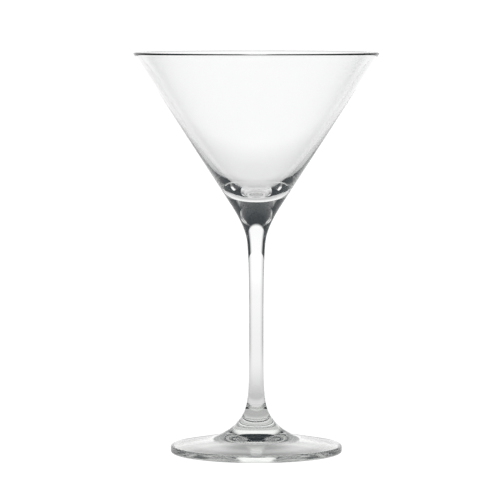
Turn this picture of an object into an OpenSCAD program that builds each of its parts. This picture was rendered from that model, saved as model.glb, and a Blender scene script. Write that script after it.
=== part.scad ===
// Stemmed martini glass made of three pieces of glass fused end to end:
// a blown conical bowl, a drawn stem and a pressed foot.
// The origin is the centre of the circle that the glass stands on, with +Z up.

/* [Overall] */
// Height from the table to the rim
glass_h = 190; // [185:1:200]

/* [Bowl] */
// Outer radius at the rim
rim_r = 58.1; // [56:0.1:60]
// Half-angle of the cone, from the upright axis
cone_angle = 32.9; // [32:0.1:34]
// Wall thickness at the rim, which is melted round
rim_wall = 1.3; // [1:0.1:2]
// Height at which the cone inside would come to a point if it didn't round off
inner_apex_z = 99; // [96:0.5:101]
// Height of the floor, the lowest point of the inside
floor_z = 122.4; // [121:0.2:124]
// Sharpness of the turn from wall to floor: 2 is a hyperbola, and more is a flatter floor
floor_turn = 2.5; // [2.2:0.1:2.8]
// Length along the cone over which the outside turns into the neck
neck_reach = 12.3; // [9:0.1:15]

/* [Stem] */
// Height of the weld between bowl and stem
neck_weld_z = 100; // [98:1:102]
// Height of the weld between stem and foot
boot_weld_z = 22; // [20:1:26]
// Radius at the waist, the thinnest place
waist_r = 3.4; // [3:0.1:4]
// Swelling of the stem at the neck weld
neck_swell = 0.95; // [0.6:0.05:1.2]
// Length over which the neck swelling dies away
neck_run = 10; // [8:0.5:12]
// Swelling of the stem at the foot weld
boot_swell = 1.5; // [1.2:0.05:1.8]
// Length over which the foot swelling dies away
boot_run = 5.7; // [5.2:0.1:6.2]
// Chamfer that leaves a fine groove around the weld between stem and foot
weld_groove = 0.12; // [0.05:0.01:0.2]

/* [Foot] */
// Outer radius
foot_r = 40.7; // [39:0.1:42]
// Thickness at the edge
edge_t = 3.6; // [3.4:0.1:4.2]
// Rounding of the edge, top and bottom
edge_round = 1; // [0.6:0.1:1.4]
// Slope of the upper face
foot_slope = 10.5; // [10:0.1:11.5]
// Slope at which the boot flares into the upper face
flare_slope = 54; // [48:1:58]
// Width of the flat ring that the glass stands on
ring_w = 1.2; // [0.6:0.1:2.4]
// Slope of the hollow under the foot, before its crown is rounded off
hollow_slope = 15; // [13:0.5:16.5]
// Height that the rounding takes off the crown of the hollow
hollow_crown = 6; // [5:0.5:8]

/* [Hidden] */
$fn = 180;
glass_tint = [0.86, 0.9, 0.9, 0.55];
blend_steps = 16;
arc_steps = 10;

// Points along the curve that rounds off a corner at b, from a to c
function blend(a, b, c) =
    [for (i = [0:blend_steps]) let (t = i / blend_steps)
        pow(1 - t, 2) * a + 2 * t * (1 - t) * b + t * t * c];
// Points along the arc of radius r about c, from angle a to angle b
function arc(c, r, a, b) =
    [for (i = [0:arc_steps]) let (t = a + (b - a) * i / arc_steps) c + r * [cos(t), sin(t)]];
// Where the line through p along u crosses the line through q along v
function crossing(p, u, q, v) =
    p + u * ((q.x - p.x) * v.y - (q.y - p.y) * v.x) / (u.x * v.y - u.y * v.x);

// Stem and boot: the waist radius plus a swelling that dies away from each weld
function boot_radius(z) = waist_r + boot_swell * exp((boot_weld_z - z) / boot_run);
function stem_radius(z) = boot_radius(z) + neck_swell * exp((z - neck_weld_z) / neck_run);
neck_weld_r = stem_radius(neck_weld_z);
boot_weld_r = stem_radius(boot_weld_z);

// Bowl, outside: the rounded rim, the cone and the curve into the neck
cone_dir = [sin(cone_angle), cos(cone_angle)];
rim_round = rim_wall / 2;
rim_centre = [rim_r - rim_round, glass_h - rim_round];
rim_outer = rim_centre + rim_round * [cone_dir.y, -cone_dir.x];
neck_start = [neck_weld_r, neck_weld_z];
neck_dir = [neck_swell / neck_run, 1];
neck_corner = crossing(neck_start, neck_dir, rim_outer, cone_dir);
neck_end = neck_corner + neck_reach * cone_dir;

// Bowl, inside: parallel to the cone at the rim, then turning more and more towards a level floor.
// The height above the apex and the spread radius are tied by the power floor_turn.
rim_inner = rim_centre + rim_round * [-cone_dir.y, cone_dir.x];
function turned(h) = pow(pow(h, floor_turn) - pow(floor_z - inner_apex_z, floor_turn), 1 / floor_turn);
inner_spread = turned(rim_inner.y - inner_apex_z) / rim_inner.x;
function inner_z(r) = inner_apex_z
    + pow(pow(floor_z - inner_apex_z, floor_turn) + pow(r * inner_spread, floor_turn), 1 / floor_turn);

// Foot: the boot flares out until its side slopes at flare_slope, then curves into the upper face
flare_r = waist_r + boot_run / tan(flare_slope);
flare_z = boot_weld_z - boot_run * ln((flare_r - waist_r) / boot_swell);
flare_dir = [-cos(flare_slope), sin(flare_slope)];
face_dir = [-cos(foot_slope), sin(foot_slope)];
edge_centre = [foot_r - edge_round, edge_t - edge_round];
face_start = edge_centre + edge_round * [sin(foot_slope), cos(foot_slope)];
flare_corner = crossing([flare_r, flare_z], flare_dir, face_start, face_dir);
flare_reach = norm([flare_r, flare_z] - flare_corner);
flare_end = flare_corner - flare_reach * face_dir;

// Underside: a flat ring to stand on, and inside it a hollow, a shallow cone with a rounded crown
heel_centre = [edge_centre.x, edge_round];
ring_r = edge_centre.x - ring_w;
function cone_drop(r) = norm([hollow_crown, r * tan(hollow_slope)]);
function hollow_z(r) = cone_drop(ring_r) - cone_drop(r);

module bowl() {
    neck = blend(neck_start, neck_corner, neck_end);
    lip = arc(rim_centre, rim_round, -cone_angle, 180 - cone_angle);
    steps = 40;
    inside = [for (i = [1:steps]) let (r = rim_inner.x * pow(1 - i / steps, 1.3)) [r, inner_z(r)]];
    color(glass_tint) rotate_extrude() polygon(concat([[0, neck_weld_z]], neck, lip, inside));
}

module stem() {
    low = boot_weld_z + weld_groove;
    steps = 40;
    weld = [[0, boot_weld_z], [boot_weld_r - weld_groove, boot_weld_z]];
    side = [for (i = [0:steps]) let (z = low + (neck_weld_z - low) * i / steps) [stem_radius(z), z]];
    color(glass_tint) rotate_extrude() polygon(concat(weld, side, [[0, neck_weld_z]]));
}

module foot() {
    top = boot_weld_z - weld_groove;
    steps = 24;
    boot = [for (i = [0:steps - 1]) let (z = top + (flare_z - top) * i / steps) [boot_radius(z), z]];
    flare = blend([flare_r, flare_z], flare_corner, flare_end);
    edge = arc(edge_centre, edge_round, 90 - foot_slope, 0);
    heel = arc(heel_centre, edge_round, 0, -90);
    hollow = [for (i = [0:steps]) let (r = ring_r * (1 - i / steps)) [r, hollow_z(r)]];
    weld = [[0, boot_weld_z], [boot_weld_r - weld_groove, boot_weld_z]];
    color(glass_tint) rotate_extrude() polygon(concat(weld, boot, flare, edge, heel, hollow));
}

bowl();
stem();
foot();
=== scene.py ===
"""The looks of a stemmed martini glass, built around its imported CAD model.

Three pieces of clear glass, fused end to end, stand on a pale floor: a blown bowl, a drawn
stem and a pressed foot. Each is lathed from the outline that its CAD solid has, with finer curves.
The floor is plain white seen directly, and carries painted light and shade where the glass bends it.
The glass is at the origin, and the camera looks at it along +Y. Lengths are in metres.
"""

import math
from functools import reduce

import bmesh
import bpy
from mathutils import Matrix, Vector


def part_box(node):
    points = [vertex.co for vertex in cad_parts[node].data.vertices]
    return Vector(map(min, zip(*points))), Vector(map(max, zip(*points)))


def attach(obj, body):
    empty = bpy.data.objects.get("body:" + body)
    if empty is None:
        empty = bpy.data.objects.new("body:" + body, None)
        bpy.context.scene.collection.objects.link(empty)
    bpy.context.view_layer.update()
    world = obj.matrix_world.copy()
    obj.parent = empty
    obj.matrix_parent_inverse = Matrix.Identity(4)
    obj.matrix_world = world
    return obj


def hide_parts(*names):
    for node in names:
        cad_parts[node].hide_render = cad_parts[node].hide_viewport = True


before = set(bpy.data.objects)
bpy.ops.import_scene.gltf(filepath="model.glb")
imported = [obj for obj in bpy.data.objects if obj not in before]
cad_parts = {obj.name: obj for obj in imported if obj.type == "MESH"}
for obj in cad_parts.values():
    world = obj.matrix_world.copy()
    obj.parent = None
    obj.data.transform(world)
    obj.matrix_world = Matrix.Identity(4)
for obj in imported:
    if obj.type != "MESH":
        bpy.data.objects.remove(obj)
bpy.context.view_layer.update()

MM = 0.001
TAU = 2 * math.pi

# ---------------------------------------------------------------- dimensions

# Taken from the frame
GLASS_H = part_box("bowl")[1].z
RIM_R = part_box("bowl")[1].x
NECK_WELD_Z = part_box("bowl")[0].z
BOOT_WELD_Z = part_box("foot")[1].z
FOOT_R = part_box("foot")[1].x

# Bowl: cone outside, a cone turning into a level floor inside
CONE_ANGLE = math.radians(32.9)
RIM_WALL = 1.3 * MM
INNER_APEX_Z = 99 * MM
FLOOR_Z = 122.4 * MM
FLOOR_TURN = 2.5
NECK_REACH = 12.3 * MM

# Stem: a waist with a swelling that dies away from each weld
WAIST_R = 3.4 * MM
NECK_SWELL = 0.95 * MM
NECK_RUN = 10 * MM
BOOT_SWELL = 1.5 * MM
BOOT_RUN = 5.7 * MM
WELD_GROOVE = 0.12 * MM

# Foot
EDGE_T = 3.6 * MM
EDGE_ROUND = 1.0 * MM
FOOT_SLOPE = math.radians(10.5)
FLARE_SLOPE = math.radians(54)
RING_W = 1.2 * MM
HOLLOW_SLOPE = math.radians(15)
HOLLOW_CROWN = 6 * MM

# How finely the outlines are turned and drawn
SEGMENTS = 256
CURVE_STEPS = 48
ARC_STEPS = 20
WALL_STEPS = 150
STEM_STEPS = 120
SAME_POINT = 1e-7  # points nearer than this are one

# The places of a piece's two materials
GLASS, WELD = 0, 1


# ---------------------------------------------------------------- outlines

def at(r, z):
    """A point of an outline: its radius from the axis and its height."""
    return Vector((r, z))


def pointing(angle):
    """The unit vector at an angle from outwards, turning upwards."""
    return at(math.cos(angle), math.sin(angle))


def arc(centre, radius, start, end):
    """Points along an arc, from one angle to the other."""
    turns = [start + (end - start) * i / ARC_STEPS for i in range(ARC_STEPS + 1)]
    return [centre + radius * pointing(t) for t in turns]


def blend(a, corner, c):
    """Points along the curve that rounds off a corner, from a to c."""
    fractions = [i / CURVE_STEPS for i in range(CURVE_STEPS + 1)]
    return [(1 - t) ** 2 * a + 2 * t * (1 - t) * corner + t * t * c for t in fractions]


def crossing(p, u, q, v):
    """Where the line through p along u crosses the line through q along v."""
    gap = q - p
    return p + u * ((gap.x * v.y - gap.y * v.x) / (u.x * v.y - u.y * v.x))


def boot_radius(z):
    """The waist's radius, swelling towards the foot."""
    return WAIST_R + BOOT_SWELL * math.exp((BOOT_WELD_Z - z) / BOOT_RUN)


def stem_radius(z):
    """The radius of the stem, which swells towards both welds."""
    return boot_radius(z) + NECK_SWELL * math.exp((z - NECK_WELD_Z) / NECK_RUN)


NECK_WELD_R = stem_radius(NECK_WELD_Z)
BOOT_WELD_R = stem_radius(BOOT_WELD_Z)


def bowl_runs():
    """The bowl's outline as smooth runs, from its weld up the outside and down the inside."""
    cone_dir = at(math.sin(CONE_ANGLE), math.cos(CONE_ANGLE))
    across = at(cone_dir.y, -cone_dir.x)
    rim_round = RIM_WALL / 2
    rim_centre = at(RIM_R - rim_round, GLASS_H - rim_round)
    rim_outer = rim_centre + rim_round * across
    rim_inner = rim_centre - rim_round * across
    start = at(NECK_WELD_R, NECK_WELD_Z)
    corner = crossing(start, at(NECK_SWELL / NECK_RUN, 1), rim_outer, cone_dir)
    neck = blend(start, corner, corner + NECK_REACH * cone_dir)
    cone = [neck[-1].lerp(rim_outer, i / CURVE_STEPS) for i in range(1, CURVE_STEPS)]
    lip = arc(rim_centre, rim_round, -CONE_ANGLE, math.pi - CONE_ANGLE)

    depth = FLOOR_Z - INNER_APEX_Z
    rim_rise = rim_inner.y - INNER_APEX_Z
    spread = (rim_rise ** FLOOR_TURN - depth ** FLOOR_TURN) ** (1 / FLOOR_TURN) / rim_inner.x

    def inner_z(r):
        rise = (depth ** FLOOR_TURN + (r * spread) ** FLOOR_TURN) ** (1 / FLOOR_TURN)
        return INNER_APEX_Z + rise

    radii = [rim_inner.x * (1 - i / WALL_STEPS) for i in range(1, WALL_STEPS + 1)]
    inside = [at(r, inner_z(r)) for r in radii]
    return [([at(0, NECK_WELD_Z), start], WELD), (neck + cone + lip + inside, GLASS)]


def stem_runs():
    """The stem's outline, from its weld to the foot up to its weld to the bowl."""
    low = BOOT_WELD_Z + WELD_GROOVE
    heights = [low + (NECK_WELD_Z - low) * i / STEM_STEPS for i in range(STEM_STEPS + 1)]
    side = [at(stem_radius(z), z) for z in heights]
    foot_weld = [at(0, BOOT_WELD_Z), at(BOOT_WELD_R - WELD_GROOVE, BOOT_WELD_Z)]
    bowl_weld = [side[-1], at(0, NECK_WELD_Z)]
    return [(foot_weld, WELD), ([foot_weld[-1], side[0]], GLASS), (side, GLASS), (bowl_weld, WELD)]


def foot_runs():
    """The foot's outline, from its weld down the boot, over the edge and under to the hollow."""
    flare_r = WAIST_R + BOOT_RUN / math.tan(FLARE_SLOPE)
    flare_z = BOOT_WELD_Z - BOOT_RUN * math.log((flare_r - WAIST_R) / BOOT_SWELL)
    flare = at(flare_r, flare_z)
    top = BOOT_WELD_Z - WELD_GROOVE
    heights = [top + (flare_z - top) * i / CURVE_STEPS for i in range(CURVE_STEPS)]
    boot = [at(boot_radius(z), z) for z in heights]

    face_dir = at(-math.cos(FOOT_SLOPE), math.sin(FOOT_SLOPE))
    edge_centre = at(FOOT_R - EDGE_ROUND, EDGE_T - EDGE_ROUND)
    face_start = edge_centre + EDGE_ROUND * at(math.sin(FOOT_SLOPE), math.cos(FOOT_SLOPE))
    flare_dir = at(-math.cos(FLARE_SLOPE), math.sin(FLARE_SLOPE))
    corner = crossing(flare, flare_dir, face_start, face_dir)
    shoulder = blend(flare, corner, corner - (flare - corner).length * face_dir)
    face = [shoulder[-1].lerp(face_start, i / CURVE_STEPS) for i in range(1, CURVE_STEPS)]
    edge = arc(edge_centre, EDGE_ROUND, math.pi / 2 - FOOT_SLOPE, 0)
    heel_centre = at(edge_centre.x, EDGE_ROUND)
    heel = arc(heel_centre, EDGE_ROUND, 0, -math.pi / 2)

    ring_r = edge_centre.x - RING_W

    def cone_height(r):
        """Height from the tip of a cone of HOLLOW_SLOPE, rounded off by HOLLOW_CROWN."""
        return math.hypot(HOLLOW_CROWN, r * math.tan(HOLLOW_SLOPE))

    radii = [ring_r * (1 - i / CURVE_STEPS) for i in range(CURVE_STEPS + 1)]
    hollow = [at(r, cone_height(ring_r) - cone_height(r)) for r in radii]
    weld = [at(0, BOOT_WELD_Z), at(BOOT_WELD_R - WELD_GROOVE, BOOT_WELD_Z)]
    return [
        (weld, WELD),
        ([weld[-1], boot[0]], GLASS),
        (boot + shoulder + face + edge + heel, GLASS),
        ([heel[-1], hollow[0]], GLASS),
        (hollow, GLASS),
    ]


# ---------------------------------------------------------------- meshes

def face_outwards(mesh):
    """Turns every face of a closed mesh to look out of it."""
    work = bmesh.new()
    work.from_mesh(mesh)
    bmesh.ops.recalc_face_normals(work, faces=work.faces)
    work.to_mesh(mesh)
    work.free()


def lathe(name, runs):
    """A closed mesh turned from an outline that starts and ends on the axis.

    Each run is smooth. Where two runs meet, the edge between them is sharp.
    """
    outline, corners, kinds = [], set(), []
    for points, kind in runs:
        for p in points:
            if outline and (p - outline[-1]).length < SAME_POINT:
                continue
            if outline:
                kinds.append(kind)
            outline.append(p)
        corners.add(len(outline) - 1)

    vertices, rings = [], []
    for p in outline:
        count = 1 if p.x < SAME_POINT else SEGMENTS
        rings.append([len(vertices) + i % count for i in range(SEGMENTS + 1)])
        for i in range(count):
            turn = TAU * i / SEGMENTS
            vertices.append((p.x * math.cos(turn), p.x * math.sin(turn), p.y))

    faces, slots, sharp = [], [], set()
    for step, kind in enumerate(kinds):
        low, high = rings[step], rings[step + 1]
        for i in range(SEGMENTS):
            loop = (low[i], low[i + 1], high[i + 1], high[i])
            faces.append([v for n, v in enumerate(loop) if v not in loop[:n]])
            slots.append(kind)
            if step + 1 in corners:
                sharp.add(frozenset((high[i], high[i + 1])))

    mesh = bpy.data.meshes.new(name)
    mesh.from_pydata(vertices, [], faces)
    mesh.polygons.foreach_set("use_smooth", [True] * len(faces))
    mesh.polygons.foreach_set("material_index", slots)
    for edge in mesh.edges:
        edge.use_edge_sharp = frozenset(edge.vertices) in sharp
    face_outwards(mesh)
    piece = bpy.data.objects.new(name, mesh)
    bpy.context.scene.collection.objects.link(piece)
    return piece


# ---------------------------------------------------------------- node helpers

class Nodes:
    """Short ways to add shader nodes to one tree and join them up."""

    def __init__(self, tree):
        self.tree = tree
        tree.nodes.clear()

    def add(self, kind, settings=None, **inputs):
        """A node of a kind, with its settings and its inputs, each a value or another socket."""
        node = self.tree.nodes.new(kind)
        for key, value in (settings or {}).items():
            setattr(node, key, value)
        for key, value in inputs.items():
            self.put(node.inputs[key.replace("_", " ")], value)
        return node

    def put(self, socket, value):
        """Gives a socket a value, or joins another socket to it."""
        if isinstance(value, bpy.types.NodeSocket):
            self.tree.links.new(value, socket)
        else:
            socket.default_value = value

    def maths(self, operation, *values):
        """The result of one Math node."""
        node = self.tree.nodes.new("ShaderNodeMath")
        node.operation = operation
        for socket, value in zip(node.inputs, values):
            self.put(socket, value)
        return node.outputs[0]

    def plus(self, *values):
        """The sum of the values."""
        return reduce(lambda a, b: self.maths("ADD", a, b), values)

    def times(self, *values):
        """The product of the values."""
        return reduce(lambda a, b: self.maths("MULTIPLY", a, b), values)

    def one_minus(self, value):
        """What value leaves of 1."""
        return self.maths("SUBTRACT", 1.0, value)

    def axes(self, vector):
        """The x, y and z of a vector."""
        parts = self.add("ShaderNodeSeparateXYZ", Vector=vector)
        return [parts.outputs[axis] for axis in "XYZ"]

    def turn(self, x, y):
        """Degrees, to either side, between +Y and the direction x, y."""
        return self.maths("DEGREES", self.maths("ABSOLUTE", self.maths("ARCTAN2", x, y)))

    def ease(self, value, start, end, low=0.0, high=1.0):
        """Goes smoothly from low to high as value goes from start to end."""
        node = self.add("ShaderNodeMapRange", {"interpolation_type": "SMOOTHSTEP"}, Value=value)
        for key, number in zip(("From Min", "From Max", "To Min", "To Max"), (start, end, low, high)):
            node.inputs[key].default_value = number
        return node.outputs["Result"]

    def mix(self, factor, a, b):
        """The colour between a and b at factor."""
        node = self.add("ShaderNodeMix", {"data_type": "RGBA"})
        self.put(node.inputs["Factor"], factor)
        self.put(node.inputs[6], a)
        self.put(node.inputs[7], b)
        return node.outputs[2]


def new_material(name):
    """An empty material and its nodes."""
    material = bpy.data.materials.new(name)
    material.use_nodes = True
    return material, Nodes(material.node_tree)


# ---------------------------------------------------------------- glass

GLASS_IOR = 1.5

# The pressed foot is faintly green and slightly less polished than the rest
CLEAR_TINT = (0.996, 0.998, 0.998)
FOOT_TINT = (0.965, 0.98, 0.96)
POLISHED = 0.0
PRESSED = 0.045

# How deep each piece's surface ripple is
BLOWN_SWING = 0.003 * MM
DRAWN_SWING = 0.0005 * MM
PRESSED_SWING = 0.003 * MM


def glass(name, tint, roughness, height, swing):
    """Clear glass of a tint. height(nodes, place) gives its surface ripple, and swing its depth."""
    material, n = new_material(name)
    place = n.add("ShaderNodeTexCoord").outputs["Object"]
    bump = n.add("ShaderNodeBump", Strength=1.0, Distance=swing, Height=height(n, place))
    shader = n.add("ShaderNodeBsdfPrincipled", Roughness=roughness, IOR=GLASS_IOR)
    shader.inputs["Base Color"].default_value = (*tint, 1)
    shader.inputs["Transmission Weight"].default_value = 1.0
    n.put(shader.inputs["Normal"], bump.outputs["Normal"])
    n.add("ShaderNodeOutputMaterial", Surface=shader.outputs["BSDF"])
    return material


def weld_glass():
    """The face inside a weld, where glass meets the same glass, so light goes straight on."""
    material, n = new_material("weld_glass")
    clear = n.add("ShaderNodeBsdfTransparent")
    n.add("ShaderNodeOutputMaterial", Surface=clear.outputs["BSDF"])
    return material


def stretched(n, place, scale):
    """Coordinates scaled by a different amount along each axis."""
    node = n.add("ShaderNodeMapping", Vector=place)
    node.inputs["Scale"].default_value = scale
    return node.outputs["Vector"]


def noise(n, place, scale):
    """Soft random waves, about scale of them in a metre."""
    return n.add("ShaderNodeTexNoise", Vector=place, Scale=scale, Detail=2.0).outputs["Fac"]


def blown_ripple(n, place):
    """Slow waves left by blowing, wider across than down."""
    return noise(n, stretched(n, place, (1, 1, 1.6)), scale=60)


def drawn_ripple(n, place):
    """Fine lines drawn out along the stem."""
    return noise(n, stretched(n, place, (1, 1, 0.06)), scale=500)


def pressed_ripple(n, place):
    """Slow waves left by the mould."""
    return noise(n, stretched(n, place, (1, 1, 2)), scale=90)


# ---------------------------------------------------------------- studio

# Looked at directly, the floor and the world are plain white. What the glass reflects and bends sees
# the lights below instead, the floor's glow being painted light and shade; they were picked to give
# the glass the greys that it has in the photo.
# A pair says where a change begins and where it is complete.
WHITE = 1.1
SIDE_FADE = (8, 16)  # degrees from straight out to a side

# Floor: its shape, and its glow by the distance from the glass, darker close to it as painted shade
FLOOR_REACH = 12.0
FLOOR_SIDES = 64
FLOOR_DROP = 0.02 * MM
NEAR = (0.0, 0.4)
FAR = (0.4, 1.6)
SHADED_GLOW_AT_GLASS = 0.5
GLOW_NEAR = 0.88
GLOW_GAINED_FAR = 0.2

# Floor: how dark its painted shade gets, by the distance and by degrees from +Y, and what stays lit there
PAINTED_SIDE_SHADE = 0.72
DARK_AWAY = (0.15, 0.55)
DARK_TURN = (20, 72)
SIDE_LIT_AWAY = (0.5, 1.1)
FRONT_TURN = (106, 124)
FRONT_LIT_AWAY = (0.9, 1.3)

# World: how far the backdrop reaches, as sideways or upwards over straight back, and the lit horizon
BACKDROP_WIDE = (0.36, 0.78)
BACKDROP_TALL = (0.45, 0.56)
FRONT_DIMMED = 0.95
HORIZON_TALL = (0.3, 1.5)  # degrees up
DARK_ROOM = (0.025, 0.032, 0.036, 1)
LIT_ROOM = (1.03, 1.03, 1.03, 1)


def ring(n, away, inner, outer, change):
    """A change that fades in between the inner two radii and out between the outer two."""
    return n.times(n.ease(away, *inner), n.ease(away, *outer, change, 0.0))


def sideways(n, turn):
    """1 straight out to either side, and 0 from SIDE_FADE degrees away from there."""
    return n.ease(n.maths("ABSOLUTE", n.maths("SUBTRACT", turn, 90.0)), *SIDE_FADE, 1.0, 0.0)


def floor_painted_light(n, x, y):
    """The floor's painted light and shade, in what the glass bends.

    It has painted shade close to the glass, a painted ring of light gathered under the foot, a painted
    shadow under the foot's edge and a painted ring of light past it. Further out it has painted shade,
    except beyond the glass, in a strip straight out to either side, and on the camera's side as far as
    FRONT_LIT_AWAY.
    """
    away = n.maths("SQRT", n.plus(n.times(x, x), n.times(y, y)))
    # Painted shade: the floor is greyer close to the glass
    shaded_ground = n.plus(n.ease(away, *NEAR, SHADED_GLOW_AT_GLASS, GLOW_NEAR), n.ease(away, *FAR, 0.0, GLOW_GAINED_FAR))
    # Painted rings: light gathered under the foot, a shadow under the foot's edge, light past the foot
    painted_light_under_foot = ring(n, away, inner=(0.012, 0.021), outer=(0.023, 0.032), change=0.18)
    painted_shadow_under_edge = ring(n, away, inner=(0.024, 0.033), outer=(0.035, 0.045), change=-0.08)
    painted_light_past_foot = ring(n, away, inner=(0.036, 0.046), outer=(0.07, 0.1), change=0.2)
    painted_brightness = n.plus(shaded_ground, painted_light_under_foot, painted_shadow_under_edge, painted_light_past_foot)

    turn = n.turn(x, y)
    lit_side = n.times(sideways(n, turn), n.ease(away, *SIDE_LIT_AWAY))
    lit_front = n.times(n.ease(turn, *FRONT_TURN), n.ease(away, *FRONT_LIT_AWAY, 1.0, 0.0))
    unlit = n.one_minus(n.maths("MAXIMUM", lit_side, lit_front))
    # Painted shade on the floor at either side, except where it stays lit
    dark = n.times(PAINTED_SIDE_SHADE, n.ease(turn, *DARK_TURN), n.ease(away, *DARK_AWAY), unlit)
    return n.times(painted_brightness, n.one_minus(dark))


def floor_material():
    """Pale floor that glows: white when looked at directly, and in the glass patterned with painted light
    and shade.
    """
    material, n = new_material("pale_floor")
    x, y, _ = n.axes(n.add("ShaderNodeTexCoord").outputs["Object"])
    seen = n.add("ShaderNodeLightPath").outputs["Is Camera Ray"]
    level = n.add("ShaderNodeMix", {"data_type": "FLOAT"})
    n.put(level.inputs[0], seen)
    n.put(level.inputs[2], floor_painted_light(n, x, y))
    n.put(level.inputs[3], WHITE)
    light = n.add("ShaderNodeEmission", Strength=level.outputs[0])
    n.add("ShaderNodeOutputMaterial", Surface=light.outputs["Emission"])
    return material


def build_floor():
    """A level disc, far larger than the glass and just below it."""
    mesh = bpy.data.meshes.new("floor")
    turns = [TAU * i / FLOOR_SIDES for i in range(FLOOR_SIDES)]
    edge = [(FLOOR_REACH * math.cos(t), FLOOR_REACH * math.sin(t), 0) for t in turns]
    mesh.from_pydata(edge, [], [list(range(FLOOR_SIDES))])
    floor = bpy.data.objects.new("floor", mesh)
    floor.location.z = -FLOOR_DROP
    bpy.context.scene.collection.objects.link(floor)
    mesh.materials.append(floor_material())


def world_lit(n, x, y, z):
    """How lit the world is by direction, in what the glass bends.

    A backdrop stands beyond the glass, with a far dimmer copy on the camera's side, and a low strip
    lies on the horizon at either side. The rest is a dark room.
    """
    straight = n.maths("ABSOLUTE", y)
    wide = n.ease(n.maths("DIVIDE", n.maths("ABSOLUTE", x), straight), *BACKDROP_WIDE, 1.0, 0.0)
    tall = n.ease(n.maths("DIVIDE", z, straight), *BACKDROP_TALL, 1.0, 0.0)
    front = n.maths("LESS_THAN", y, 0.0)
    backdrop = n.times(wide, tall, n.one_minus(n.times(FRONT_DIMMED, front)))
    height = n.maths("DEGREES", n.maths("ARCSINE", z))
    horizon = n.times(sideways(n, n.turn(x, y)), n.ease(height, *HORIZON_TALL, 1.0, 0.0))
    return n.maths("MAXIMUM", horizon, backdrop)


def build_world():
    """White when looked at directly, and lit by world_lit in the glass."""
    world = bpy.data.worlds.new("studio")
    world.use_nodes = True
    bpy.context.scene.world = world
    n = Nodes(world.node_tree)
    x, y, z = n.axes(n.add("ShaderNodeTexCoord").outputs["Generated"])
    room = n.mix(world_lit(n, x, y, z), DARK_ROOM, LIT_ROOM)
    seen = n.add("ShaderNodeLightPath").outputs["Is Camera Ray"]
    colour = n.mix(seen, room, (WHITE, WHITE, WHITE, 1))
    light = n.add("ShaderNodeBackground", Color=colour)
    n.add("ShaderNodeOutputWorld", Surface=light.outputs["Background"])


# The camera's place and lens, as estimated from the photo. Its lens and sensor are in millimetres.
CAMERA_AWAY = 1.6
CAMERA_HEIGHT = 0.2147
CAMERA_ASIDE = -3.0 * MM
AIM_HEIGHT = 0.0966
SENSOR_WIDTH = 36
LENS = 243.6

# As many as light needs to find its way through thick glass
BOUNCES = 32


def build_camera():
    """Far back and a little above the rim, as for a product picture."""
    data = bpy.data.cameras.new("camera")
    data.sensor_width = SENSOR_WIDTH
    data.lens = LENS
    camera = bpy.data.objects.new("camera", data)
    camera.location = (CAMERA_ASIDE, -CAMERA_AWAY, CAMERA_HEIGHT)
    look = Vector((CAMERA_ASIDE, 0, AIM_HEIGHT)) - camera.location
    camera.rotation_euler = look.to_track_quat("-Z", "Y").to_euler()
    bpy.context.scene.collection.objects.link(camera)
    bpy.context.scene.camera = camera


def set_up_light_paths():
    """Lets light bounce BOUNCES times, and shows colours as they are."""
    scene = bpy.context.scene
    scene.view_settings.view_transform = "Standard"
    scene.cycles.max_bounces = BOUNCES
    scene.cycles.transmission_bounces = BOUNCES
    scene.cycles.glossy_bounces = BOUNCES
    scene.cycles.blur_glossy = 0.0
    scene.cycles.use_denoising = True


# ---------------------------------------------------------------- the glass

def add_piece(node, runs, clear, weld):
    """Lathes a piece in place of its CAD solid, clear outside and with weld where it is fused."""
    piece = lathe(node + "_glass", runs)
    piece.data.materials.append(clear)
    piece.data.materials.append(weld)
    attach(piece, "root")
    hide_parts(node)


inner_weld = weld_glass()
bowl_clear = glass("bowl_clear", CLEAR_TINT, POLISHED, blown_ripple, BLOWN_SWING)
add_piece("bowl", bowl_runs(), bowl_clear, inner_weld)
stem_clear = glass("stem_clear", CLEAR_TINT, POLISHED, drawn_ripple, DRAWN_SWING)
add_piece("stem", stem_runs(), stem_clear, inner_weld)
foot_clear = glass("foot_clear", FOOT_TINT, PRESSED, pressed_ripple, PRESSED_SWING)
add_piece("foot", foot_runs(), foot_clear, inner_weld)

build_floor()
build_world()
build_camera()
set_up_light_paths()
